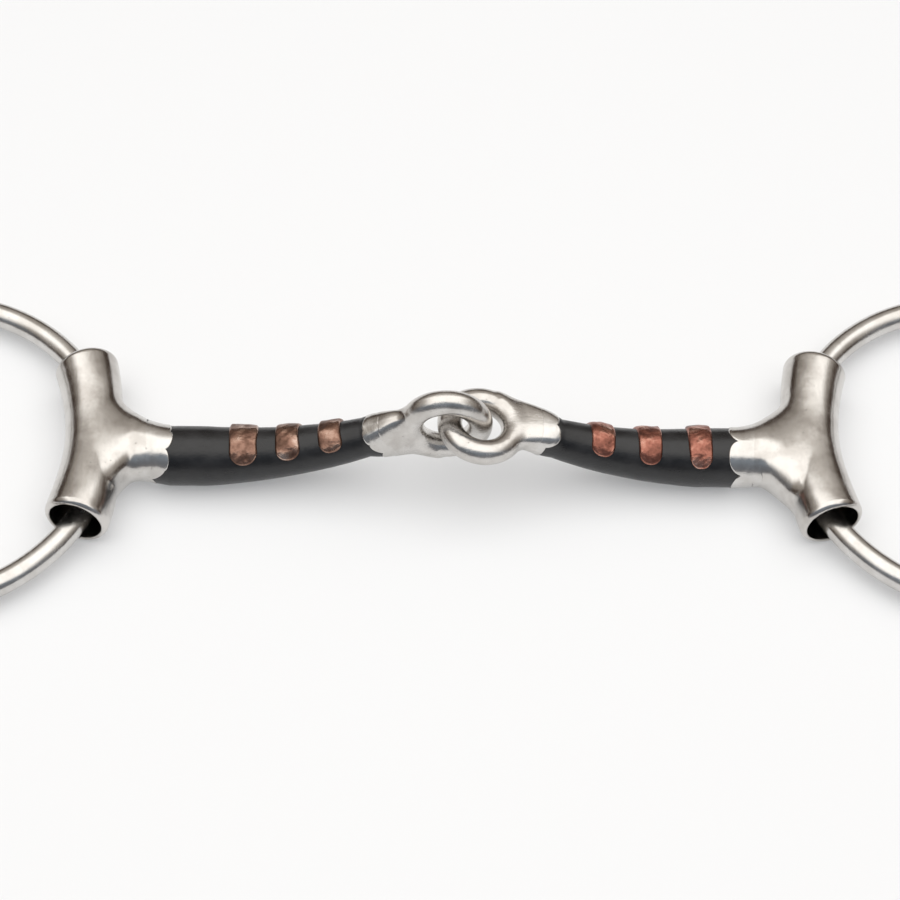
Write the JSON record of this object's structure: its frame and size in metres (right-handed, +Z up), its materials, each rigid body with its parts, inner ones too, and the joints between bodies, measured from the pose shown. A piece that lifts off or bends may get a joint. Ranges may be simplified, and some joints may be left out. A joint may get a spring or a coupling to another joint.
{
  "type": "snaffle bit",
  "caption": "Loose-ring snaffle bit with bent sleeve cheeks, a single-jointed curved mouthpiece in blackened iron and copper inlays.",
  "frame": {"origin": "on the table under the middle of the bit's bounding box", "axes": "+X along the mouthpiece towards the right ring, +Y across it, +Z up from the table"},
  "size_m": [0.2814, 0.0768, 0.0253],
  "materials": {
    "ring_steel": "drawn stainless wire, hand polished",
    "cheek_steel": "cast stainless, polished, with soft streaks",
    "weld_metal": "stainless filler, ground and polished",
    "sweet_iron": "blackened sweet iron, satin",
    "copper": "copper, worn and oxidised"
  },
  "bodies": {
    "left_half": {"left_sleeve": "cheek_steel", "left_sleeve_weld": "weld_metal", "left_cannon": "sweet_iron", "left_outer_inlay": "copper", "left_middle_inlay": "copper", "left_inner_inlay": "copper", "left_eye_weld": "weld_metal", "left_eye": "cheek_steel"},
    "right_half": {"right_sleeve": "cheek_steel", "right_sleeve_weld": "weld_metal", "right_cannon": "sweet_iron", "right_outer_inlay": "copper", "right_middle_inlay": "copper", "right_inner_inlay": "copper", "right_eye_weld": "weld_metal", "right_eye": "cheek_steel"},
    "left_ring": {"left_ring": "ring_steel"},
    "right_ring": {"right_ring": "ring_steel"}
  },
  "joints": [
    {"name": "mouthpiece_fold", "type": "hinge", "parent": "left_half", "child": "right_half", "pos_m": [-0.00114, -0.003, 0.01655], "axis": [0, 1, 0], "range_deg": [-80, 95]},
    {"name": "left_ring_swing", "type": "hinge", "parent": "left_half", "child": "left_ring", "pos_m": [-0.06875, 0, 0.00648], "axis": [0, 1, 0], "range_deg": [-10, 50]},
    {"name": "right_ring_swing", "type": "hinge", "parent": "right_half", "child": "right_ring", "pos_m": [0.06875, 0, 0.00648], "axis": [0, -1, 0], "range_deg": [-10, 50]}
  ]
}
